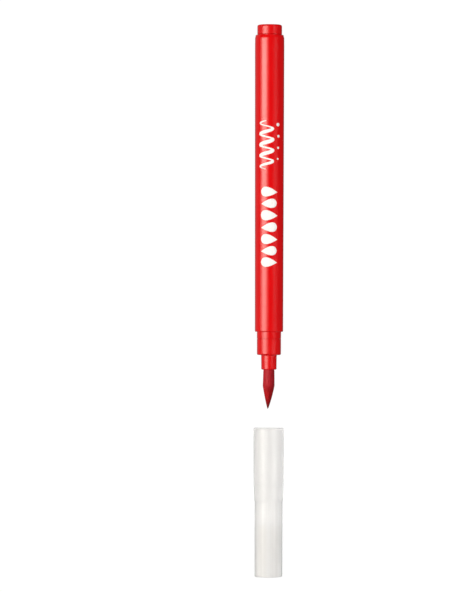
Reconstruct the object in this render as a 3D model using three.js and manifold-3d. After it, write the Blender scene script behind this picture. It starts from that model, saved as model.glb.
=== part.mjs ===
// A felt brush pen with its cap off, lying on a table. +Z is up, +X runs along the pen towards its
// tail, and the origin is on the table under the middle of the whole row. Lengths are in millimetres.
//
// Every piece is turned about the pen's own axis, which is local Y inside the group at the end of this file.
// `s` is the distance along it, from the tail's end face to the brush, and on to the far end of the cap.
import * as THREE from "three";
import { mergeVertices } from "three/addons/utils/BufferGeometryUtils.js";
import Module from "manifold-3d";

// ---- Driving dimensions ----
const SIDES = 32; // sides of a turned piece: a flat one is down, so the row doesn't roll
const NIB_SIDES = 24;
const FIT_GAP = 0.1; // radial gap at a press fit
const FACE_GAP = 0.15; // gap where two pieces meet end to end

const POST_R = 4.26; // the stepped-down tail
const POST_LENGTH = 3.5;
const TAIL_R = 5.06; // barrel at the tail; it tapers to FRONT_R
const FRONT_R = 4.87;
const BARREL_BORE_R = 4.05;
const BARREL_LENGTH = 102.4; // tail shoulder to front step
const NECK_R = 4.17; // in front of the step, where the cap grips
const NECK_LENGTH = 2.4; // the barrel's own part of the neck
const LAND_LENGTH = 5.6; // the nose section's part of it
const SPIGOT_R = 3.25; // the nose section's tail, inside the barrel
const SPIGOT_LENGTH = 6.5;
const COLLAR_R = 2.63;
const COLLAR_LENGTH = 5.05;
const NIB_BORE_R = 1.97;
const NIB_STEM_R = 1.85;
const BRUSH_BASE_R = 1.92;
const BRUSH_BELLY_R = 2.05;
const BRUSH_BELLY = 5.6; // collar to the brush's widest place
const BRUSH_LENGTH = 13.55; // collar to the brush's point
const PLUG_DEPTH = 4.8; // the end plug's reach into the barrel
const RESERVOIR_R = 3.6;
const RESERVOIR_HOLE_DEPTH = 8;
const FILM_THICKNESS = 0.2;

const CAP_CLEARANCE = 6.6; // brush point to the mouth of the loose cap
const CAP_LENGTH = 51.3;
const CAP_MOUTH_R = 5.25;
const CAP_GRIP_R = 5.17; // where the taper towards the step gets steeper
const CAP_GRIP_DEPTH = 17;
const CAP_WAIST_R = 4.97; // just before the cap's step
const CAP_END_R = 4.75; // after the step
const CAP_STEP_DEPTH = 24.6; // mouth to step
const CAP_BORE_R = 4.33;
const CAP_BORE_DEPTH = 19.3;
const CAP_CHAMBER_R = 3.7; // the narrower chamber round the brush's point
const CAP_SEPTUM_DEPTH = 32.2; // mouth to the wall that closes the chamber
const CAP_SEPTUM = 1.1; // that wall's thickness
const CAP_HOLLOW_R = 3.95; // the open end beyond the septum
const CAP_FINS = 6;
const CAP_FIN_THICKNESS = 0.6;
const CAP_HUB_R = 1.25;
const CAP_HUB_PROUD = 0.12; // the hub stands this far out of the end

// ---- Stations along the axis ----
const SHOULDER = POST_LENGTH;
const STEP = SHOULDER + BARREL_LENGTH;
const NECK_END = STEP + NECK_LENGTH;
const LAND_END = NECK_END + LAND_LENGTH;
const COLLAR_END = LAND_END + COLLAR_LENGTH;
const POINT = COLLAR_END + BRUSH_LENGTH;
const PLUG_END = SHOULDER + PLUG_DEPTH;
const SPIGOT_START = NECK_END - SPIGOT_LENGTH;
const RESERVOIR_START = PLUG_END + 0.3;
const RESERVOIR_END = SPIGOT_START - 2.5;
const STEM_START = RESERVOIR_END - RESERVOIR_HOLE_DEPTH;
const FLEX_PIVOT = COLLAR_END + 0.4; // the brush bends about this point
const STEM_END = FLEX_PIVOT - BRUSH_BASE_R - 0.3;
const MOUTH = POINT + CAP_CLEARANCE;
const SEPTUM = MOUTH + CAP_SEPTUM_DEPTH;
const CAP_END = MOUTH + CAP_LENGTH;

const wasm = await Module();
wasm.setup();

// ---- Materials ----
const material = (color, roughness, extra = {}) =>
  new THREE.MeshStandardMaterial({ color, roughness, metalness: 0, ...extra });
const redPlastic = material(0xe01616, 0.28);
const inkedFibre = material(0xa51c22, 0.85);
const reservoirFibre = material(0xc4202a, 0.95);
const clearFilm = material(0xf3d9d9, 0.25, { transparent: true, opacity: 0.5 });
const frostedPlastic = material(0xe9e6e1, 0.4, { transparent: true, opacity: 0.75 });

// ---- Shape helpers ----

// Turns a profile of [radius, s] points about the axis: towards the cap on an outside, back again in a bore.
// The flats of the turned polygon are at the stated radius.
function turned(points, sides = SIDES) {
  const cornerScale = 1 / Math.cos(Math.PI / sides);
  const profile = points.map(([r, s]) => new THREE.Vector2(r * cornerScale, s));
  return new THREE.LatheGeometry(profile, sides, Math.PI / sides, 2 * Math.PI);
}

// The points of a round of radius `r` on a corner, between the unit directions of its two flanks.
function rounded([cornerR, cornerS], r, [fromR, fromS], [toR, toS], steps = 3) {
  const points = [];
  for (let i = 0; i <= steps; i++) {
    const a = (i / steps) * (Math.PI / 2);
    const near = r * (1 - Math.sin(a));
    const far = r * (1 - Math.cos(a));
    points.push([cornerR + fromR * near + toR * far, cornerS + fromS * near + toS * far]);
  }
  return points;
}

function solid(geometry) {
  const bare = geometry.clone();
  bare.deleteAttribute("normal");
  bare.deleteAttribute("uv");
  const merged = mergeVertices(bare, 1e-4);
  return new wasm.Manifold(
    new wasm.Mesh({
      numProp: 3,
      vertProperties: merged.attributes.position.array,
      triVerts: new Uint32Array(merged.index.array),
    }),
  );
}

function geometryOf(manifold) {
  const { vertProperties, triVerts } = manifold.getMesh();
  const geometry = new THREE.BufferGeometry();
  geometry.setAttribute("position", new THREE.BufferAttribute(new Float32Array(vertProperties), 3));
  geometry.setIndex(new THREE.BufferAttribute(new Uint32Array(triVerts), 1));
  geometry.computeVertexNormals();
  return geometry;
}

// A bar along the axis from one station to another. It crosses the radius `r` at `angle`.
function bar(width, depth, r, angle, from, to) {
  const geometry = new THREE.BoxGeometry(width, to - from, depth);
  geometry.translate(0, (from + to) / 2, r);
  geometry.rotateY(angle);
  return solid(geometry);
}

// ---- The pen ----

// An open tube with a rounded shoulder at the tail, and a stepped-down neck with a thicker wall at the front.
function barrel() {
  const neckBoreR = SPIGOT_R + FIT_GAP;
  return turned([
    [BARREL_BORE_R, SHOULDER],
    ...rounded([TAIL_R - 0.2, SHOULDER], 0.25, [-1, 0], [0, 1]),
    [TAIL_R - 0.07, SHOULDER + 1.0],
    [TAIL_R, SHOULDER + 1.9],
    ...rounded([FRONT_R, STEP], 0.3, [0, -1], [-1, 0]),
    [NECK_R, STEP],
    [NECK_R, NECK_END - 0.08],
    [NECK_R - 0.08, NECK_END],
    [neckBoreR, NECK_END],
    [neckBoreR, SPIGOT_START - 0.6],
    [BARREL_BORE_R, SPIGOT_START - 1.6],
    [BARREL_BORE_R, SHOULDER],
  ]);
}

// The stepped-down tail and, in one piece with it, the hollow stopper that closes the barrel behind
// the reservoir.
function endPlug() {
  const stopperR = BARREL_BORE_R - FIT_GAP;
  const hollowR = stopperR - 0.95;
  const floor = 1.3;
  return turned([
    [0, 0],
    ...rounded([POST_R, 0], 0.55, [-1, 0], [0, 1]),
    [POST_R, SHOULDER - FACE_GAP],
    [stopperR, SHOULDER - FACE_GAP],
    [stopperR, PLUG_END - 0.5],
    [stopperR - 0.4, PLUG_END],
    [hollowR, PLUG_END],
    [hollowR - 0.1, floor],
    [0, floor],
  ]);
}

// The land that the cap grips, the collar round the nib, and the spigot that is pressed into the barrel.
// Four air channels beside the nib let air back into the reservoir as ink leaves it.
function noseSection() {
  const start = NECK_END + FACE_GAP;
  const funnelR = NIB_BORE_R + 0.9;
  const body = solid(
    turned([
      [funnelR, SPIGOT_START],
      [SPIGOT_R, SPIGOT_START + 0.6],
      [SPIGOT_R, start],
      [NECK_R - 0.08, start],
      [NECK_R, start + 0.08],
      ...rounded([NECK_R - 0.03, LAND_END], 0.5, [0, -1], [-1, 0]),
      [COLLAR_R + 0.25, LAND_END],
      [COLLAR_R + 0.05, LAND_END + 0.3],
      [COLLAR_R, LAND_END + 0.9],
      ...rounded([COLLAR_R, COLLAR_END], 0.35, [0, -1], [-1, 0]),
      [NIB_BORE_R + 0.12, COLLAR_END],
      [NIB_BORE_R, COLLAR_END - 0.15],
      [NIB_BORE_R, SPIGOT_START + 2.2],
      [funnelR, SPIGOT_START],
    ]),
  );
  const channels = 4;
  let piece = body;
  for (let i = 0; i < channels; i++) {
    const angle = ((i + 0.5) * 2 * Math.PI) / channels;
    piece = piece.subtract(bar(0.55, 0.56, NIB_BORE_R, angle, SPIGOT_START + 1.5, COLLAR_END + 1));
  }
  return geometryOf(piece);
}

// The part of the nib that the collar and the reservoir hold.
function nibStem() {
  return turned(
    [
      [0, STEM_START],
      [NIB_STEM_R - 0.4, STEM_START],
      [NIB_STEM_R, STEM_START + 0.6],
      [NIB_STEM_R, STEM_END],
      [0, STEM_END],
    ],
    NIB_SIDES,
  );
}

// The part of the nib that bends: a ball in the collar's mouth, a slow swell, then a slim
// bullet-shaped point.
function brushTip() {
  const ballSteps = 4;
  const pointSteps = 7;
  const swell = 0.4; // how far the point's flanks bow out from a straight cone
  const bellyS = COLLAR_END + BRUSH_BELLY;
  const points = [[0, FLEX_PIVOT - BRUSH_BASE_R]];
  for (let i = 1; i <= ballSteps; i++) {
    const a = (i / ballSteps) * (Math.PI / 2);
    points.push([BRUSH_BASE_R * Math.sin(a), FLEX_PIVOT - BRUSH_BASE_R * Math.cos(a)]);
  }
  for (let i = 0; i < pointSteps; i++) {
    const t = i / pointSteps;
    points.push([BRUSH_BELLY_R * (1 - t) * (1 + swell * t), bellyS + t * (POINT - bellyS)]);
  }
  points.push([0, POINT]);
  return turned(points, NIB_SIDES);
}

// The bonded-fibre rod that holds the ink, with the blind hole that takes the nib's stem.
function inkReservoir() {
  const holeR = NIB_STEM_R + FIT_GAP;
  const holeEnd = STEM_START - FACE_GAP;
  return turned([
    [0, RESERVOIR_START],
    [RESERVOIR_R, RESERVOIR_START],
    [RESERVOIR_R, RESERVOIR_END],
    [holeR, RESERVOIR_END],
    [holeR, holeEnd],
    [0, holeEnd],
  ]);
}

// The plastic film that the reservoir's fibres are wrapped in, open at both ends.
function reservoirFilm() {
  const inner = RESERVOIR_R + 0.06;
  const outer = inner + FILM_THICKNESS;
  const start = RESERVOIR_START - 0.1;
  const end = RESERVOIR_END + 0.5;
  return turned([
    [inner, start],
    [outer, start],
    [outer, end],
    [inner, end],
    [inner, start],
  ]);
}

// ---- The cap ----

// One moulding: a gripping bore, a narrower chamber for the brush, a septum, and an open end
// stiffened by fins.
function cap() {
  const stepS = MOUTH + CAP_STEP_DEPTH;
  const septumEnd = SEPTUM + CAP_SEPTUM;
  const shell = solid(
    turned([
      [0, SEPTUM],
      [CAP_CHAMBER_R, SEPTUM],
      [CAP_CHAMBER_R, MOUTH + CAP_BORE_DEPTH + 0.6],
      [CAP_BORE_R, MOUTH + CAP_BORE_DEPTH],
      [CAP_BORE_R, MOUTH + 0.4],
      [CAP_BORE_R + 0.2, MOUTH],
      ...rounded([CAP_MOUTH_R, MOUTH], 0.45, [-1, 0], [0, 1]),
      [CAP_GRIP_R, MOUTH + CAP_GRIP_DEPTH],
      [CAP_WAIST_R, stepS],
      [CAP_END_R, stepS + 0.9],
      ...rounded([CAP_END_R, CAP_END], 0.6, [0, -1], [-1, 0]),
      [CAP_HOLLOW_R, CAP_END],
      [CAP_HOLLOW_R, septumEnd],
      [0, septumEnd],
    ]),
  );
  return geometryOf(fins(septumEnd - 0.3).reduce((piece, fin) => piece.add(fin), shell));
}

// A round hub on the axis, and the fins that join it to the wall of the cap's open end.
function fins(from) {
  const reach = CAP_HOLLOW_R + 0.3;
  const hub = turned([
    [0, from],
    [CAP_HUB_R, from],
    [CAP_HUB_R, CAP_END + CAP_HUB_PROUD],
    [0, CAP_END + CAP_HUB_PROUD],
  ]);
  const pieces = [solid(hub)];
  for (let i = 0; i < CAP_FINS; i++) {
    const angle = (i * 2 * Math.PI) / CAP_FINS;
    pieces.push(bar(CAP_FIN_THICKNESS, reach, reach / 2, angle, from, CAP_END - 0.05));
  }
  return pieces;
}

// ---- Assembly ----
const pen = new THREE.Group();
pen.rotation.z = Math.PI / 2; // the tail is at +X
pen.position.set((CAP_END + CAP_HUB_PROUD) / 2, 0, CAP_MOUTH_R);

function add(name, geometry, meshMaterial) {
  const mesh = new THREE.Mesh(geometry, meshMaterial);
  mesh.name = name;
  pen.add(mesh);
}

add("barrel", barrel(), redPlastic);
add("end_plug", endPlug(), redPlastic);
add("nose_section", noseSection(), redPlastic);
add("nib_stem", nibStem(), inkedFibre);
add("brush_tip", brushTip(), inkedFibre);
add("ink_reservoir", inkReservoir(), reservoirFibre);
add("reservoir_film", reservoirFilm(), clearFilm);
add("cap", cap(), frostedPlastic);

const row = new THREE.Group();
row.add(pen);

export default row;
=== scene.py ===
"""The looks of a felt brush pen that lies on a table with its cap off, in line in front of the brush.

The pen's axis is parallel to X, with the tail at +X. Stations along it are called s: millimetres from the
tail's end face towards the brush, and on to the far end of the cap. The radii and other lengths of the pieces
are in millimetres too. Lengths in the materials, the lights and the camera are in metres.
"""
import math

import bmesh
import bpy
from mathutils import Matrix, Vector, noise


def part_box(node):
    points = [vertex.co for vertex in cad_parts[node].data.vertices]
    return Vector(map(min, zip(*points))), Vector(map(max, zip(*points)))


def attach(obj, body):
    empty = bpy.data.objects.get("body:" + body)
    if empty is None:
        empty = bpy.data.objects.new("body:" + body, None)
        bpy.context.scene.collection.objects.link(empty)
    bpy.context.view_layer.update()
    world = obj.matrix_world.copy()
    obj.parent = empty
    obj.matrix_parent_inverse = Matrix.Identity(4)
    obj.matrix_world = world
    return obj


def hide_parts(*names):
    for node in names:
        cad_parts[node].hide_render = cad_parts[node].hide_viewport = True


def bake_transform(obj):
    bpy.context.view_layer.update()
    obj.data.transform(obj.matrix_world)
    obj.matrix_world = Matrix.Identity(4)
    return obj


MM = 0.001

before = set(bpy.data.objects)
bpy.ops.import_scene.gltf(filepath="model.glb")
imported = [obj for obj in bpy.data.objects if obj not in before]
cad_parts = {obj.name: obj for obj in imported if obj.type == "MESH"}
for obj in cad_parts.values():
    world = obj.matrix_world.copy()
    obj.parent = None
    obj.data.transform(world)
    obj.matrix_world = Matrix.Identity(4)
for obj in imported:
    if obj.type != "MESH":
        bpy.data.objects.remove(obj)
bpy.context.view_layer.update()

# ---- Places from the frame ----
TAIL_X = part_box("end_plug")[1].x
AXIS_Z = (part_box("cap")[0].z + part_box("cap")[1].z) / 2


def station(x):
    """The s of a place along X."""
    return (TAIL_X - x) / MM


def place_x(s):
    """The place along X of a station."""
    return TAIL_X - s * MM


def radius_of(node):
    """The largest radius of a turned CAD node."""
    low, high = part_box(node)
    return (high.y - low.y) / 2 / MM


SHOULDER = station(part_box("barrel")[1].x)
NECK_END = station(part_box("barrel")[0].x)
COLLAR_END = station(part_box("nose_section")[0].x)
SPIGOT_START = station(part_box("nose_section")[1].x)
PLUG_END = station(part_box("end_plug")[0].x)
STEM_START = station(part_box("nib_stem")[1].x)
POINT = station(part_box("brush_tip")[0].x)
RESERVOIR_START = station(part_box("ink_reservoir")[1].x)
RESERVOIR_END = station(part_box("ink_reservoir")[0].x)
FILM_START = station(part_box("reservoir_film")[1].x)
FILM_END = station(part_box("reservoir_film")[0].x)
MOUTH = station(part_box("cap")[1].x)
HUB_END = station(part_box("cap")[0].x)

POST_R = radius_of("end_plug")
TAIL_R = radius_of("barrel")
NECK_R = radius_of("nose_section")
STEM_R = radius_of("nib_stem")
BELLY_R = radius_of("brush_tip")
RESERVOIR_R = radius_of("ink_reservoir")
FILM_R = radius_of("reservoir_film")
MOUTH_R = radius_of("cap")

# ---- Sizes inside the boxes, as in the CAD ----
NECK_LENGTH = 2.4
LAND_LENGTH = 5.6
STEP = NECK_END - NECK_LENGTH
LAND_END = NECK_END + LAND_LENGTH
TAPER_START = SHOULDER + 4.0
FRONT_R = 4.87
BARREL_BORE_R = 4.05
NECK_BORE_R = 3.35
SPIGOT_R = 3.25
STOPPER_R = 3.95
COLLAR_R = 2.63
NIB_BORE_R = 1.97
NIB_BASE_R = 1.92
BELLY = COLLAR_END + 5.6
NIB_SWELL = 0.3
NIB_LEAN = 0.35
SEAM = 0.15
FINE_SEAM = 0.05
DRAFT = 0.02
FILM_THICKNESS = 0.2
CAP_BORE_R = 4.33
CAP_CHAMBER_R = 3.7
CAP_GRIP_R = 5.17
CAP_WAIST_R = 4.97
CAP_END_R = 4.75
CAP_HOLLOW_R = 3.95
CAP_GRIP_END = MOUTH + 17
CAP_BORE_END = MOUTH + 19.3
CAP_STEP = MOUTH + 24.6
CAP_STEP_END = CAP_STEP + 0.9
SEPTUM = MOUTH + 32.2
SEPTUM_END = SEPTUM + 1.1
HUB_PROUD = 0.12
CAP_END = HUB_END - HUB_PROUD
HUB_R = 1.25
FINS = 6
FIN_THICKNESS = 0.6

# ---- Fineness of the meshes ----
SEGMENTS = 128
FIBRE_SEGMENTS = 96
HUB_SEGMENTS = 48
FILLET_STEPS = 6
SUPPORT_LENGTH = 0.12
MOST_OF_A_STRAIGHT = 0.49
MOST_OF_A_FILLET = 0.3
ON_AXIS = 1e-6

# ---- Brightness of the stage: as seen, as it lights the pen, and as it is reflected ----
FLOOR_TONE = 0.06
FLOOR_GLOW = 0.97
FLOOR_BOUNCE = 0.10
SKY_SEEN = 0.98
SKY_FILL = 0.30
SKY_MIRRORED = 0.01
# The floor's reflection on each side of the row: by the cap's waist, by its grip, and by the pen.
FLOOR_MIRRORED_LEFT = (0.02, 0.60, 0.24)
FLOOR_MIRRORED_RIGHT = (0.02, 0.85, 0.04)

# ---- Colours and spans along X of the lights ----
KEY_COLOUR = (1.0, 0.96, 0.87)
FILL_COLOUR = (1.0, 0.98, 0.96)
ALL_ALONG = (-0.32, 0.40)
TAIL_SPAN = (0.06, 0.50)
LEFT_SPAN = (-0.25, 0.30)
RIGHT_SPAN = (-0.30, 0.30)


# ---- Mesh helpers ----

def place(s, r, angle):
    """The point at station s and radius r. The angle is from the top, towards +Y."""
    return Vector((place_x(s), r * MM * math.sin(angle), AXIS_Z + r * MM * math.cos(angle)))


def contour(corners):
    """A smooth line through (s, r, fillet radius) corners.

    Each fillet is an arc with a support point on each side of it. It is smaller than stated where the
    straights beside it are too short for it.
    """
    points = []
    for i, (s, r, fillet) in enumerate(corners):
        here = Vector((s, r))
        if fillet == 0 or i in (0, len(corners) - 1):
            points.append(here)
            continue
        back = Vector(corners[i - 1][:2]) - here
        ahead = Vector(corners[i + 1][:2]) - here
        half = back.angle(ahead) / 2
        shorter = min(MOST_OF_A_STRAIGHT * back.length, MOST_OF_A_STRAIGHT * ahead.length)
        reach = min(fillet / math.tan(half), shorter)
        radius = reach * math.tan(half)
        support = reach + min(SUPPORT_LENGTH, MOST_OF_A_FILLET * reach)
        back.normalize()
        ahead.normalize()
        centre = here + (back + ahead).normalized() * (radius / math.sin(half))
        first = here + back * reach - centre
        last = here + ahead * reach - centre
        turn = first.angle(last)
        points.append(here + back * support)
        for k in range(FILLET_STEPS + 1):
            t = k / FILLET_STEPS
            arc = (first * math.sin((1 - t) * turn) + last * math.sin(t * turn)) / math.sin(turn)
            points.append(centre + arc)
        points.append(here + ahead * support)
    return points


def spaced(points, longest):
    """The same line, with its long stretches divided so that no piece is longer than `longest`."""
    dense = [points[0]]
    for here, there in zip(points, points[1:]):
        count = max(1, math.ceil((there - here).length / longest))
        dense.extend(here.lerp(there, k / count) for k in range(1, count + 1))
    return dense


def turned(name, line, segments=SEGMENTS, shape=None):
    """A piece turned about the axis from a line of (s, r) points.

    `shape(s, r, angle)` may change the radius. A line that starts and ends on the axis closes there, and any
    other line is closed into a ring.
    """
    mesh = bmesh.new()
    rings = []
    for s, r in line:
        if r < ON_AXIS:
            rings.append([mesh.verts.new(place(s, 0, 0))])
            continue
        ring = []
        for k in range(segments):
            angle = 2 * math.pi * k / segments
            ring.append(mesh.verts.new(place(s, shape(s, r, angle) if shape else r, angle)))
        rings.append(ring)
    starts_on_axis = len(rings[0]) == 1
    pairs = list(zip(rings, rings[1:]))
    if not starts_on_axis:
        pairs.append((rings[-1], rings[0]))
    for a, b in pairs:
        for k in range(segments):
            n = (k + 1) % segments
            corners = [a[k % len(a)], a[n % len(a)], b[n % len(b)], b[k % len(b)]]
            mesh.faces.new(list(dict.fromkeys(corners)))
    return finished(name, mesh)


def lengthwise(s, angle, rate, turns, shift=0.0):
    """Noise on a turned surface, as ridges along it: `turns` says how many, and `rate` how fast each one
    changes along its length."""
    return noise.noise(Vector((s * rate, turns * math.cos(angle), shift + turns * math.sin(angle))))


def finished(name, mesh, smooth=True):
    """Makes an object of a bmesh, with its faces pointing out."""
    bmesh.ops.recalc_face_normals(mesh, faces=mesh.faces)
    data = bpy.data.meshes.new(name)
    mesh.to_mesh(data)
    mesh.free()
    if smooth:
        data.shade_smooth()
    else:
        data.shade_flat()
    piece = bpy.data.objects.new(name, data)
    bpy.context.scene.collection.objects.link(piece)
    return piece


def dress(piece, material, slot, body, *nodes):
    """Gives a piece its material and its body, and hides the CAD nodes that it stands for. `slot` is not
    used.
    """
    piece.data.materials.clear()
    piece.data.materials.append(material)
    if body:
        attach(piece, body)
    if nodes:
        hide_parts(*nodes)
    return piece


# ---- Node helpers ----

def feed(tree, socket, value):
    """Gives a socket a number, or links another node's output to it."""
    if isinstance(value, (int, float)):
        socket.default_value = value
    else:
        tree.links.new(value, socket)


def map_range(tree, value, low, high, to_low, to_high):
    """Carries a value over from one range to another. Each end is a number or another node's output."""
    node = tree.nodes.new("ShaderNodeMapRange")
    ends = {"From Min": low, "From Max": high, "To Min": to_low, "To Max": to_high, "Value": value}
    for key, end in ends.items():
        feed(tree, node.inputs[key], end)
    return node.outputs["Result"]


# ---- Materials ----

class Nodes:
    """A short way to write a material's node tree."""

    def __init__(self, name):
        self.material = bpy.data.materials.new(name)
        self.material.use_nodes = True
        self.tree = self.material.node_tree
        self.shader = self.tree.nodes["Principled BSDF"]
        self.coordinates = self.tree.nodes.new("ShaderNodeTexCoord").outputs["Object"]

    def set(self, **values):
        """Constants on the shader's own sockets."""
        for key, value in values.items():
            self.shader.inputs[key.replace("_", " ")].default_value = value

    def link(self, output, key):
        self.tree.links.new(output, self.shader.inputs[key])

    def stretched(self, x, y, z):
        """The object's coordinates, times a scale for each axis."""
        node = self.tree.nodes.new("ShaderNodeVectorMath")
        node.operation = "MULTIPLY"
        node.inputs[1].default_value = (x, y, z)
        self.tree.links.new(self.coordinates, node.inputs[0])
        return node.outputs[0]

    def along_x(self):
        split = self.tree.nodes.new("ShaderNodeSeparateXYZ")
        self.tree.links.new(self.coordinates, split.inputs[0])
        return split.outputs["X"]

    def noise(self, vector, scale, detail=4, roughness=0.55):
        node = self.tree.nodes.new("ShaderNodeTexNoise")
        node.inputs["Scale"].default_value = scale
        node.inputs["Detail"].default_value = detail
        node.inputs["Roughness"].default_value = roughness
        self.tree.links.new(vector, node.inputs["Vector"])
        return node.outputs["Fac"]

    def range(self, value, low, high, to_low, to_high):
        return map_range(self.tree, value, low, high, to_low, to_high)

    def math(self, operation, a, b):
        node = self.tree.nodes.new("ShaderNodeMath")
        node.operation = operation
        feed(self.tree, node.inputs[0], a)
        feed(self.tree, node.inputs[1], b)
        return node.outputs[0]

    def colours(self, value, *stops):
        """A ramp of (place, colour) stops."""
        node = self.tree.nodes.new("ShaderNodeValToRGB")
        elements = node.color_ramp.elements
        while len(elements) < len(stops):
            elements.new(0.5)
        for element, (place_on_ramp, colour) in zip(elements, stops):
            element.position = place_on_ramp
            element.color = (*colour, 1)
        self.tree.links.new(value, node.inputs["Fac"])
        return node.outputs["Color"]

    def times(self, colour, value):
        """A colour times a grey value."""
        node = self.tree.nodes.new("ShaderNodeVectorMath")
        node.operation = "SCALE"
        self.tree.links.new(colour, node.inputs[0])
        self.tree.links.new(value, node.inputs["Scale"])
        return node.outputs[0]

    def mix(self, factor, first, second):
        node = self.tree.nodes.new("ShaderNodeMix")
        node.data_type = "RGBA"
        sockets = {"Factor_Float": factor, "A_Color": first, "B_Color": second}
        for socket in node.inputs:
            if socket.identifier in sockets:
                self.tree.links.new(sockets[socket.identifier], socket)
        return next(socket for socket in node.outputs if socket.identifier == "Result_Color")

    def bump(self, height, distance, strength=1.0):
        node = self.tree.nodes.new("ShaderNodeBump")
        node.inputs["Strength"].default_value = strength
        node.inputs["Distance"].default_value = distance
        self.tree.links.new(height, node.inputs["Height"])
        self.link(node.outputs["Normal"], "Normal")


def red_plastic(name, roughness):
    """Moulded polypropylene under its own clear gloss: an even bright red with faint flow marks, fine rub
    marks and a very fine grain."""
    deep = (0.70, 0.0025, 0.0040)
    light = (0.75, 0.0040, 0.0055)
    n = Nodes(name)
    flow = n.noise(n.stretched(1, 5, 5), scale=60, detail=3)
    n.link(n.colours(flow, (0.3, deep), (0.7, light)), "Base Color")
    rub = n.noise(n.stretched(0.3, 4, 4), scale=900, detail=5, roughness=0.7)
    n.link(n.range(rub, 0.3, 0.75, roughness - 0.02, roughness + 0.04), "Roughness")
    grain = n.noise(n.coordinates, scale=2500, detail=3)
    n.bump(grain, distance=0.00001, strength=0.15)
    n.set(IOR=1.32, Coat_Weight=1.0, Coat_IOR=1.35, Coat_Roughness=roughness)
    return n.material


def white_print():
    """Pad-printed white ink: a thin matte film with a faint mottle."""
    thin = (0.90, 0.87, 0.86)
    full = (0.97, 0.95, 0.94)
    n = Nodes("white_print")
    mottle = n.noise(n.coordinates, scale=1800, detail=4)
    n.link(n.colours(mottle, (0.3, thin), (0.6, full)), "Base Color")
    n.link(n.range(mottle, 0.2, 0.8, 0.38, 0.55), "Roughness")
    n.bump(mottle, distance=0.00001, strength=0.4)
    return n.material


def inked_fibre():
    """Bonded fibre soaked with ink: matte, with a fine lengthwise grain. It is lighter and pinker near the
    collar, partly because it is drier there and partly as a painted pink sheen, and dark at the point."""
    soaked_tones = ((0.36, (0.27, 0.002, 0.004)), (0.5, (0.43, 0.004, 0.007)), (0.66, (0.53, 0.007, 0.012)))
    # The tones near the collar are lighter and pinker: partly drier fibre, partly a painted pink sheen.
    dry_sheen_tones = ((0.36, (0.32, 0.006, 0.011)), (0.5, (0.50, 0.014, 0.024)), (0.66, (0.62, 0.026, 0.042)))
    strand_share = 0.65
    point = place_x(POINT)
    dark_length = 0.004
    dry_sheen_from = place_x(BELLY) - 0.002
    dry_sheen_past = place_x(BELLY) + 0.001
    n = Nodes("inked_fibre")
    strands = n.noise(n.stretched(0.12, 1, 1), scale=6500, detail=4, roughness=0.65)
    blotches = n.noise(n.stretched(0.6, 1, 1), scale=900, detail=3)
    fine = n.math("MULTIPLY", strands, strand_share)
    coarse = n.math("MULTIPLY", blotches, 1 - strand_share)
    tone = n.math("ADD", fine, coarse)
    soaked = n.colours(tone, *soaked_tones)
    dry = n.colours(tone, *dry_sheen_tones)
    along = n.along_x()
    # Towards the collar the colour turns to the drier tones with their painted pink sheen.
    fibre = n.mix(n.range(along, dry_sheen_from, dry_sheen_past, 0.0, 1.0), soaked, dry)
    n.link(n.times(fibre, n.range(along, point, point + dark_length, 0.25, 1.0)), "Base Color")
    n.link(n.range(strands, 0.3, 0.7, 0.40, 0.55), "Roughness")
    n.bump(strands, distance=0.00005, strength=0.6)
    n.set(IOR=1.28, Sheen_Weight=0.04, Sheen_Roughness=0.4, Sheen_Tint=(1.0, 0.4, 0.55, 1))
    return n.material


def reservoir_fibre():
    """The loose fibre bundle that holds the ink."""
    wet = (0.33, 0.01, 0.02)
    dry = (0.62, 0.05, 0.06)
    n = Nodes("reservoir_fibre")
    strands = n.noise(n.stretched(0.05, 1, 1), scale=5000, detail=5, roughness=0.7)
    n.link(n.colours(strands, (0.35, wet), (0.65, dry)), "Base Color")
    n.link(n.range(strands, 0.3, 0.7, 0.8, 1.0), "Roughness")
    n.bump(strands, distance=0.0002, strength=0.9)
    return n.material


def clear_film():
    """Thin clear film with soft crinkles."""
    stained = (0.92, 0.80, 0.80)
    clear = (0.96, 0.88, 0.88)
    n = Nodes("clear_film")
    crinkle = n.noise(n.stretched(0.5, 1.5, 1.5), scale=700, detail=3)
    n.link(n.colours(crinkle, (0.3, stained), (0.7, clear)), "Base Color")
    n.link(n.range(crinkle, 0.3, 0.7, 0.12, 0.25), "Roughness")
    n.bump(crinkle, distance=0.0002, strength=0.5)
    n.set(IOR=1.45, Transmission_Weight=0.85)
    return n.material


def frosted_plastic():
    """Natural polypropylene: milky, a little greyer in the wider part, with faint lengthwise draw marks and,
    in the narrower part, painted grey shade streaks that stand for the fins inside it."""
    milky_grey = (0.965, 0.96, 0.955)
    milky_white = (0.978, 0.973, 0.968)
    waist = place_x(CAP_STEP)
    septum = place_x(SEPTUM)
    fade_in = 0.002
    n = Nodes("frosted_plastic")
    along = n.along_x()
    marks = n.noise(n.stretched(0.02, 1, 1), scale=1100, detail=3, roughness=0.6)
    milk = n.colours(marks, (0.35, milky_grey), (0.65, milky_white))
    clearness = n.range(along, septum, waist, 1.0, 0.94)
    # Painted shade: lengthwise streaks, a little darker or lighter, in the narrower part, for the shade of
    # the fins inside.
    rib_shade_noise = n.noise(n.stretched(0.01, 1, 1), scale=1300, detail=2, roughness=0.5)
    narrower = n.range(along, waist - fade_in, waist, 1.0, 0.0)
    shade = n.math("MULTIPLY", narrower, n.range(rib_shade_noise, 0.42, 0.54, 0.045, -0.02))
    n.link(n.times(milk, n.math("SUBTRACT", clearness, shade)), "Base Color")
    n.link(n.range(marks, 0.3, 0.75, 0.29, 0.31), "Roughness")
    n.set(IOR=1.2, Transmission_Weight=0.8, Coat_Weight=1.0, Coat_IOR=1.24, Coat_Roughness=0.22)
    return n.material


# ---- The pen ----

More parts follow.
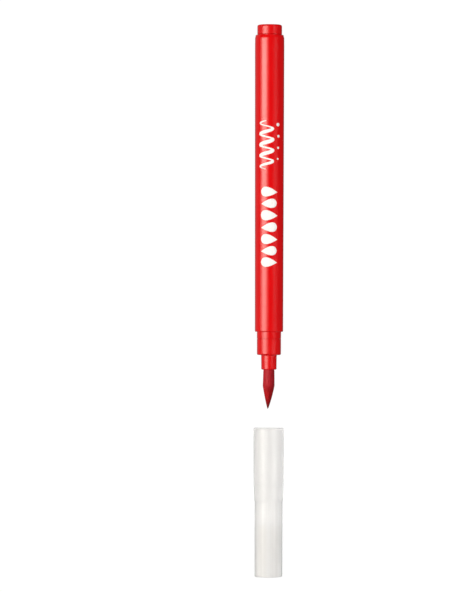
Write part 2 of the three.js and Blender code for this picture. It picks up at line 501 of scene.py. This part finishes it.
def make_barrel(material):
    """The tapered tube: a rounded shoulder, the step, the neck, and a bore that is tighter in the neck."""
    shoulder_face_r = TAIL_R - 0.28
    rounded_off = SHOULDER + 1.1
    rounded_off_r = TAIL_R - 0.03
    bore_cone_start = SPIGOT_START - 1.6
    bore_cone_end = SPIGOT_START - 0.6
    mouth_edge = 0.05
    line = contour([
        (SHOULDER, BARREL_BORE_R, 0),
        (SHOULDER, shoulder_face_r, 0.3),
        (rounded_off, rounded_off_r, 1.2),
        (TAPER_START, TAIL_R, 3.0),
        (STEP, FRONT_R, 0.3),
        (STEP, NECK_R, 0.05),
        (NECK_END, NECK_R - DRAFT, 0.07),
        (NECK_END, NECK_BORE_R, 0.1),
        (bore_cone_end, NECK_BORE_R, 0.1),
        (bore_cone_start, BARREL_BORE_R, 0.1),
        (SHOULDER + mouth_edge, BARREL_BORE_R, 0),
    ])
    return dress(turned("barrel_shell", spaced(line, longest=4)), material, "red_plastic", "pen", "barrel")


def make_end_plug(material):
    """The post at the tail and the hollow stopper behind it."""
    post_end = SHOULDER - SEAM
    hollow_r = STOPPER_R - 0.95
    floor = 1.3
    slope = 0.1
    line = contour([
        (0, 0, 0),
        (0, POST_R, 0.6),
        (post_end - slope, POST_R, 0.08),
        (post_end, STOPPER_R, 0.05),
        (PLUG_END, STOPPER_R - slope, 0.4),
        (PLUG_END, hollow_r, 0.15),
        (floor, hollow_r - slope, 0.3),
        (floor, 0, 0),
    ])
    return dress(turned("tail_post", spaced(line, longest=1)), material, "red_plastic", "pen", "end_plug")


def make_nose(material):
    """The front of the neck, the collar round the nib, and the spigot in the barrel's neck."""
    start = NECK_END + FINE_SEAM
    funnel_r = NIB_BORE_R + 0.9
    funnel_lip = 0.1
    funnel_lip_depth = 0.3
    funnel_end = SPIGOT_START + 2.2
    spigot_chamfer = 0.5
    collar_draft = 0.06
    lip_depth = 0.3
    channels = 4
    channel_depth = 0.28
    channel_half_width = 0.275
    channel_flank = 1.5
    channel_start = SPIGOT_START + 1.5
    outside_bore_r = NIB_BORE_R + 0.2

    def with_channels(s, r, angle):
        """Cuts the air channels into the bore and through the collar's lip."""
        if r > outside_bore_r or s < channel_start:
            return r
        pitch = 2 * math.pi / channels
        turn = (angle - pitch / 2) % pitch
        half_widths_away = min(turn, pitch - turn) * NIB_BORE_R / channel_half_width
        return r + channel_depth * min(1, max(0, channel_flank - half_widths_away))

    line = contour([
        (SPIGOT_START + funnel_lip_depth, funnel_r - funnel_lip, 0),
        (SPIGOT_START, funnel_r, 0.05),
        (SPIGOT_START + spigot_chamfer, SPIGOT_R, 0.1),
        (start, SPIGOT_R, 0.05),
        (start, NECK_R - DRAFT, 0.07),
        (LAND_END, NECK_R - 2 * DRAFT, 0.45),
        (LAND_END, COLLAR_R + collar_draft, 0.3),
        (COLLAR_END, COLLAR_R, 0.38),
        (COLLAR_END, NIB_BORE_R + collar_draft, 0.12),
        (COLLAR_END - lip_depth, NIB_BORE_R, 0.1),
        (funnel_end, NIB_BORE_R, 0.1),
    ])
    piece = turned("nose_cone", spaced(line, longest=1), SEGMENTS, with_channels)
    return dress(piece, material, "red_plastic", "pen", "nose_section")


def make_nib(material):
    """One length of bonded fibre: the stem in the reservoir and collar, the swell, and the brush's point."""
    chamfer = 0.2
    chamfer_length = 0.6
    stem_end = COLLAR_END - 1.5
    swell_end = BELLY - 1.6
    swell_end_r = BELLY_R - 0.03
    point_r = 0.16
    bluntness = 14
    skin = 0.995
    ridge_depth = 0.010
    drift_depth = 0.008
    steps = 40
    line = spaced(contour([
        (STEM_START, 0, 0),
        (STEM_START, STEM_R - chamfer, 0.15),
        (STEM_START + chamfer_length, STEM_R, 0.3),
        (stem_end, STEM_R, 0.5),
        (COLLAR_END, NIB_BASE_R, 0.5),
        (swell_end, swell_end_r, 1.0),
    ]), longest=0.6)
    for k in range(steps + 1):
        t = k / steps
        blunt = math.sqrt(max(0.0, 1 - t ** bluntness))
        r = BELLY_R * (1 - t) * (1 + NIB_SWELL * t) + point_r * t ** 2 * blunt
        line.append(Vector((BELLY + t * (POINT - BELLY), r if k < steps else 0)))

    def fibrous(s, r, angle):
        """Fine lengthwise ridges, as on a bundle of fibres, and a slight unevenness."""
        if s < COLLAR_END:
            return r
        ridge = lengthwise(s, angle, rate=0.05, turns=7)
        drift = lengthwise(s, angle, rate=0.25, turns=1.5, shift=4)
        return r * (skin + ridge_depth * ridge + drift_depth * drift)

    piece = turned("nib_fibre", line, FIBRE_SEGMENTS, fibrous)
    for vertex in piece.data.vertices:
        t = max(0.0, (station(vertex.co.x) - COLLAR_END) / (POINT - COLLAR_END))
        vertex.co.y += NIB_LEAN * MM * t * t
    dress(piece, material, "inked_fibre", None, "nib_stem", "brush_tip")
    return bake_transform(piece)


def make_reservoir(material):
    """The fibre rod, with a hole for the nib's stem."""
    hole_r = STEM_R + 0.1
    hole_end = STEM_START - SEAM
    outside_hole_r = hole_r + 0.05
    flute_depth = 0.015

    def bundled(s, r, angle):
        """Lengthwise fluting, as where strands of fibre lie side by side."""
        if r < outside_hole_r:
            return r
        return r * (1 - flute_depth + flute_depth * lengthwise(s, angle, rate=0.01, turns=5))

    line = contour([
        (RESERVOIR_START, 0, 0),
        (RESERVOIR_START, RESERVOIR_R, 0.25),
        (RESERVOIR_END, RESERVOIR_R, 0.25),
        (RESERVOIR_END, hole_r, 0.15),
        (hole_end, hole_r, 0.1),
        (hole_end, 0, 0),
    ])
    piece = turned("reservoir_rod", spaced(line, longest=3), FIBRE_SEGMENTS, bundled)
    return dress(piece, material, "reservoir_fibre", "pen", "ink_reservoir")


def make_film(material):
    """The film round the fibre rod."""
    inner = FILM_R - FILM_THICKNESS
    clearance = 0.02
    end_chamfer = 0.1
    crinkle_depth = 0.03

    def crinkled(s, r, angle):
        return r - crinkle_depth + crinkle_depth * lengthwise(s, angle, rate=0.15, turns=2)

    line = contour([
        (FILM_START, inner + 2 * clearance, 0),
        (FILM_START, FILM_R, 0.05),
        (FILM_END, FILM_R, 0.05),
        (FILM_END, inner + clearance, 0.05),
        (FILM_START + end_chamfer, inner + clearance, 0),
    ])
    piece = turned("film_wrap", spaced(line, longest=2), FIBRE_SEGMENTS, crinkled)
    return dress(piece, material, "clear_film", "pen", "reservoir_film")


# ---- The print on the barrel: a wavy brush stroke with dots, and a row of paint drops ----

INK_HEIGHT = 0.03
INK_ROOT = -0.05
THINNEST = 0.02


def barrel_radius(s):
    """The barrel's radius on its tapered length."""
    return TAIL_R + (FRONT_R - TAIL_R) * (s - TAPER_START) / (STEP - TAPER_START)


def stroke_section():
    """A stroke's section as (place across, height): a flat top with rounded edges, and a sunk base."""
    across = 8
    flatness = 6
    top = []
    for i in range(across + 1):
        u = 2 * i / across - 1
        top.append((u, INK_HEIGHT * (1 - abs(u) ** flatness)))
    return top + [(1, INK_ROOT), (-1, INK_ROOT)]


def add_stroke(mesh, path):
    """A thin closed stroke on the barrel.

    The path is (s, v, half width), with v along the barrel's skin from the top towards +Y.
    """
    section = stroke_section()
    rings = []
    for k, (s, v, half) in enumerate(path):
        before = path[max(k - 1, 0)]
        after = path[min(k + 1, len(path) - 1)]
        side = Vector((before[1] - after[1], after[0] - before[0])).normalized() * half
        ring = []
        for u, height in section:
            here = s + side.x * u
            r = barrel_radius(here)
            ring.append(mesh.verts.new(place(here, r + height, (v + side.y * u) / r)))
        rings.append(ring)
    count = len(section)
    for a, b in zip(rings, rings[1:]):
        for k in range(count):
            n = (k + 1) % count
            mesh.faces.new((a[k], a[n], b[n], b[k]))
    mesh.faces.new(rings[0])
    mesh.faces.new(rings[-1])


def wave_path():
    """A wavy brush stroke along the barrel, thicker on its rises and drawn out at both ends."""
    start = 33.2
    length = 16.8
    waves = 4.5
    middle = 1.1
    swing = 2.35
    half_width = 0.46
    rise_half_width = 0.20
    fade_power = 0.35
    end_half_width = 0.03
    steps = 120
    path = []
    for k in range(steps + 1):
        t = k / steps
        phase = 2 * math.pi * waves * t
        fade = math.sin(math.pi * t) ** fade_power
        half = (half_width + rise_half_width * math.cos(phase)) * fade + end_half_width
        path.append((start + length * t, middle + swing * math.sin(phase), half))
    return path


def drop_path(s, v, length, half):
    """A paint drop across the barrel, round at v and drawn out to a point `length` away."""
    slant = 0.3
    drawn_out = 1.1
    to_full_width = 2.70
    steps = 18
    path = []
    for k in range(steps + 1):
        t = 0.5 - 0.5 * math.cos(math.pi * k / steps)
        width = half * to_full_width * math.sqrt(t) * (1 - t) ** drawn_out
        path.append((s + slant * t, v + length * t, max(width, THINNEST)))
    return path


def dot_path(s, v, radius):
    steps = 12
    path = []
    for k in range(steps + 1):
        a = math.pi * k / steps
        path.append((s, v - radius * math.cos(a), max(radius * math.sin(a), THINNEST)))
    return path


def make_print(material):
    """The white motif. Dots are (s, v, radius), and drops are (s, v, length, half width)."""
    dots = ((34.6, -3.1, 0.62), (38.6, -3.3, 0.50), (42.6, -3.2, 0.42), (46.4, -3.0, 0.34))
    drops = (
        (57.6, 3.0, -5.9, 1.75),
        (61.6, -2.6, 5.6, 1.65),
        (65.7, 3.1, -6.1, 1.85),
        (69.8, -2.7, 5.7, 1.70),
        (73.9, 3.0, -5.9, 1.80),
        (77.9, -2.6, 5.6, 1.65),
        (81.8, 3.0, -5.8, 1.70),
    )
    mesh = bmesh.new()
    add_stroke(mesh, wave_path())
    for dot in dots:
        add_stroke(mesh, dot_path(*dot))
    for drop in drops:
        add_stroke(mesh, drop_path(*drop))
    return dress(finished("print_motif", mesh), material, "white_print", "pen")


# ---- The cap ----

def make_cap(material):
    """The cap's shell, its septum, and the finned hub in its open end, joined into one moulding."""
    mouth_flare = 0.2
    flare_depth = 0.4
    bore_cone = 0.6
    outside_r = CAP_HOLLOW_R + 0.4
    mark_depth = 0.008
    mark_fade_in = 4
    hub_root = SEPTUM_END - 0.4
    sharp_from = math.radians(35)

    def drawn(s, r, angle):
        """Shallow lengthwise draw marks on the outside of the narrower part."""
        if r < outside_r or s < CAP_STEP_END:
            return r
        mark = lengthwise(s, angle, rate=0.01, turns=5)
        return r * (1 + mark_depth * mark * min(1, (s - CAP_STEP_END) / mark_fade_in))

    line = contour([
        (SEPTUM, 0, 0),
        (SEPTUM, CAP_CHAMBER_R, 0.3),
        (CAP_BORE_END + bore_cone, CAP_CHAMBER_R, 0.15),
        (CAP_BORE_END, CAP_BORE_R, 0.15),
        (MOUTH + flare_depth, CAP_BORE_R, 0.2),
        (MOUTH, CAP_BORE_R + mouth_flare, 0.1),
        (MOUTH, MOUTH_R, 0.45),
        (CAP_GRIP_END, CAP_GRIP_R, 8),
        (CAP_STEP, CAP_WAIST_R, 0.6),
        (CAP_STEP_END, CAP_END_R, 0.8),
        (CAP_END, CAP_END_R, 0.6),
        (CAP_END, CAP_HOLLOW_R, 0.12),
        (SEPTUM_END, CAP_HOLLOW_R, 0.25),
        (SEPTUM_END, 0, 0),
    ])
    shell = turned("cap_shell", spaced(line, longest=3), SEGMENTS, drawn)
    hub_line = contour([
        (hub_root, 0, 0),
        (hub_root, HUB_R, 0.05),
        (HUB_END, HUB_R, 0.15),
        (HUB_END, 0, 0),
    ])
    tools = [turned("hub", hub_line, HUB_SEGMENTS)]
    tools += [make_fin(k * 2 * math.pi / FINS) for k in range(FINS)]
    for tool in tools:
        union = shell.modifiers.new("union", "BOOLEAN")
        union.operation = "UNION"
        union.solver = "EXACT"
        union.object = tool
    graph = bpy.context.evaluated_depsgraph_get()
    joined = bpy.data.meshes.new_from_object(shell.evaluated_get(graph))
    shell.modifiers.clear()
    shell.data = joined
    for tool in tools:
        bpy.data.objects.remove(tool)
    joined.shade_smooth()
    joined.set_sharp_from_angle(angle=sharp_from)
    return dress(shell, material, "frosted_plastic", "cap", "cap")


def make_fin(angle):
    """One fin from the hub to the cap's wall, thinner at its free end."""
    root = (SEPTUM_END - 0.3, FIN_THICKNESS / 2)
    free = (CAP_END - 0.05, FIN_THICKNESS / 2 - 0.08)
    inner_r = 0.4
    outer_r = CAP_HOLLOW_R + 0.3
    outwards = Vector((0, math.sin(angle), math.cos(angle))) * MM
    sideways = Vector((0, math.cos(angle), -math.sin(angle))) * MM
    mesh = bmesh.new()
    rows = []
    for s, half in (root, free):
        row = []
        for r, side in ((inner_r, -1), (inner_r, 1), (outer_r, 1), (outer_r, -1)):
            row.append(mesh.verts.new(place(s, 0, 0) + outwards * r + sideways * side * half))
        rows.append(row)
    for k in range(4):
        n = (k + 1) % 4
        mesh.faces.new((rows[0][k], rows[0][n], rows[1][n], rows[1][k]))
    mesh.faces.new(rows[0])
    mesh.faces.new(rows[1])
    return finished("fin", mesh, smooth=False)


# ---- Stage ----

class StageNodes:
    """A stage shader whose brightness depends on the kind of ray that meets it."""

    def __init__(self, tree, emitter):
        self.tree = tree
        self.emitter = emitter
        tree.nodes.clear()
        self.path = tree.nodes.new("ShaderNodeLightPath")

    def level(self, strength):
        """A glow whose strength is a number or another node's output."""
        node = self.tree.nodes.new(self.emitter)
        feed(self.tree, node.inputs["Strength"], strength)
        return node.outputs[0]

    def choose(self, factor, no, yes):
        node = self.tree.nodes.new("ShaderNodeMixShader")
        self.tree.links.new(factor, node.inputs[0])
        self.tree.links.new(no, node.inputs[1])
        self.tree.links.new(yes, node.inputs[2])
        return node.outputs[0]

    def beside(self, x, by_waist, by_grip, by_pen):
        """A level that changes along X: beside the cap's waist, beside its grip and beside the pen."""
        waist = place_x(CAP_STEP)
        half_change = 0.002
        by_cap = map_range(self.tree, x, waist - half_change, waist + half_change, by_waist, by_grip)
        return map_range(self.tree, x, place_x(MOUTH), place_x(COLLAR_END), by_cap, by_pen)

    def level_across(self, right, left):
        """A glow with levels for each side of the row: by the cap's waist, by its grip and by the pen."""
        half_change = 0.005
        on_floor = self.tree.nodes.new("ShaderNodeNewGeometry").outputs["Position"]
        split = self.tree.nodes.new("ShaderNodeSeparateXYZ")
        self.tree.links.new(on_floor, split.inputs[0])
        x = split.outputs["X"]
        y = split.outputs["Y"]
        both = (self.beside(x, *right), self.beside(x, *left))
        return self.level(map_range(self.tree, y, -half_change, half_change, *both))

    def by_ray(self, seen, bounced, mirrored):
        """`seen` meets the camera and what is seen through plastic, `mirrored` is reflected, and `bounced`
        is the rest."""
        mirror = self.tree.nodes.new("ShaderNodeMath")
        mirror.operation = "MULTIPLY"
        self.tree.links.new(self.path.outputs["Is Glossy Ray"], mirror.inputs[0])
        self.tree.links.new(self.path.outputs["Is Reflection Ray"], mirror.inputs[1])
        shader = self.choose(self.path.outputs["Is Diffuse Ray"], seen, bounced)
        return self.choose(mirror.outputs[0], shader, mirrored)


def make_floor():
    """White paper. It glows, so that the shadows on it stay faint."""
    half = 12
    corners = [(-half, -half, 0), (half, -half, 0), (half, half, 0), (-half, half, 0)]
    data = bpy.data.meshes.new("floor")
    data.from_pydata(corners, [], [(0, 1, 2, 3)])
    floor = bpy.data.objects.new("floor", data)
    bpy.context.scene.collection.objects.link(floor)
    material = bpy.data.materials.new("floor_paper")
    material.use_nodes = True
    material.cycles.emission_sampling = "NONE"
    tree = material.node_tree
    n = StageNodes(tree, "ShaderNodeEmission")
    paper = tree.nodes.new("ShaderNodeBsdfDiffuse")
    paper.inputs["Color"].default_value = (FLOOR_TONE, FLOOR_TONE, FLOOR_TONE, 1)
    both = tree.nodes.new("ShaderNodeAddShader")
    tree.links.new(paper.outputs[0], both.inputs[0])
    tree.links.new(n.level(FLOOR_GLOW), both.inputs[1])
    output = tree.nodes.new("ShaderNodeOutputMaterial")
    mirrored = n.level_across(FLOOR_MIRRORED_RIGHT, FLOOR_MIRRORED_LEFT)
    tree.links.new(n.by_ray(both.outputs[0], n.level(FLOOR_BOUNCE), mirrored), output.inputs[0])
    data.materials.append(material)


def make_world():
    """White to look at, with an even fill, and dim all round in reflections."""
    world = bpy.data.worlds.new("studio")
    bpy.context.scene.world = world
    world.use_nodes = True
    world.cycles.sampling_method = "NONE"
    n = StageNodes(world.node_tree, "ShaderNodeBackground")
    output = world.node_tree.nodes.new("ShaderNodeOutputWorld")
    shader = n.by_ray(n.level(SKY_SEEN), n.level(SKY_FILL), n.level(SKY_MIRRORED))
    world.node_tree.links.new(shader, output.inputs[0])


def make_area_light(name, length, width, radiance, colour, mirrored):
    """A rectangular light that the camera doesn't see. Gloss mirrors it if `mirrored` is true."""
    data = bpy.data.lights.new(name, "AREA")
    data.shape = "RECTANGLE"
    data.size = length
    data.size_y = width
    data.energy = radiance * math.pi * length * width
    data.color = colour
    light = bpy.data.objects.new(name, data)
    light.visible_camera = False
    light.visible_glossy = mirrored
    bpy.context.scene.collection.objects.link(light)
    return light


def make_softbox(name, colour, along, angle, spread, distance, radiance, mirrored=True):
    """A soft box over the pen, `along` X from one place to another.

    The pen sees its middle `angle` degrees from straight up, towards +Y, and its width as `spread` degrees.
    """
    start, end = along
    width = 2 * distance * math.tan(math.radians(spread / 2))
    lean = math.radians(angle)
    light = make_area_light(name, end - start, width, radiance, colour, mirrored)
    light.location = ((start + end) / 2, distance * math.sin(lean), AXIS_Z + distance * math.cos(lean))
    light.rotation_euler = (-lean, 0, 0)
    return light


def make_end_box(name, end, distance, radiance, mirrored=True):
    """A soft box that stands upright beyond one end of the pen: 1 at the tail, -1 at the cap."""
    width = 1.6
    height = 0.5
    off_floor = 0.02
    light = make_area_light(name, height, width, radiance, FILL_COLOUR, mirrored)
    light.location = (end * distance, 0, height / 2 + off_floor)
    light.rotation_euler = (0, end * math.pi / 2, 0)


def keep_off(light, piece):
    """Leaves a piece out of a light."""
    left_out = bpy.data.collections.new(light.name + "_left_out")
    left_out.objects.link(piece)
    left_out.collection_objects[0].light_linking.link_state = "EXCLUDE"
    light.light_linking.receiver_collection = left_out


def make_lights(nib):
    """A key towards +Y in nested boxes, a faint light across from it, a box beyond each end of the pen, and
    washes that gloss doesn't mirror.

    No two that overlap share a distance, because boxes in one plane would hide each other.
    """
    make_softbox("key_wide", KEY_COLOUR, ALL_ALONG, angle=43, spread=74, distance=2.02, radiance=1.1)
    make_softbox("key_soft", KEY_COLOUR, ALL_ALONG, angle=42, spread=48, distance=2.00, radiance=2.2)
    make_softbox("key_core", KEY_COLOUR, ALL_ALONG, angle=42, spread=26, distance=1.98, radiance=2.4)
    make_softbox("key_tail", KEY_COLOUR, TAIL_SPAN, angle=42.5, spread=42, distance=1.96, radiance=2.8)
    make_softbox("side", FILL_COLOUR, ALL_ALONG, angle=-48, spread=8, distance=2.00, radiance=0.18)
    make_softbox("wash_left", KEY_COLOUR, LEFT_SPAN,
                 angle=62, spread=40, distance=1.50, radiance=3.3, mirrored=False)
    wash_right = make_softbox("wash_right", FILL_COLOUR, RIGHT_SPAN,
                              angle=-50, spread=40, distance=1.00, radiance=2.7, mirrored=False)
    keep_off(wash_right, nib)
    make_softbox("wash_low", FILL_COLOUR, RIGHT_SPAN,
                 angle=-50, spread=40, distance=1.02, radiance=1.6, mirrored=False)
    make_end_box("end_tail", end=1, distance=2.00, radiance=0.6)
    make_end_box("end_cap", end=-1, distance=2.00, radiance=0.25)
    make_end_box("end_wash", end=1, distance=1.97, radiance=2.4, mirrored=False)


def make_camera():
    """Straight above, far off with a long lens, with the tail up in the picture."""
    distance = 1.2
    view_height = 0.2043
    centre_x = 0.00167
    centre_y = 0.01106
    roll = math.radians(0.136)
    data = bpy.data.cameras.new("camera")
    data.sensor_width = 36
    data.lens = data.sensor_width * distance / view_height
    camera = bpy.data.objects.new("camera", data)
    camera.location = (centre_x, centre_y, AXIS_Z + distance)
    camera.rotation_euler = (0, 0, roll - math.pi / 2)
    bpy.context.scene.collection.objects.link(camera)
    bpy.context.scene.camera = camera


glossy_red = red_plastic("red_plastic", roughness=0.16)
satin_red = red_plastic("red_plastic_satin", roughness=0.21)
make_barrel(glossy_red)
make_print(white_print())
make_end_plug(satin_red)
make_nose(satin_red)
nib_fibre = make_nib(inked_fibre())
make_reservoir(reservoir_fibre())
make_film(clear_film())
make_cap(frosted_plastic())

make_floor()
make_world()
make_lights(nib_fibre)
make_camera()
bpy.context.scene.view_settings.view_transform = "Standard"
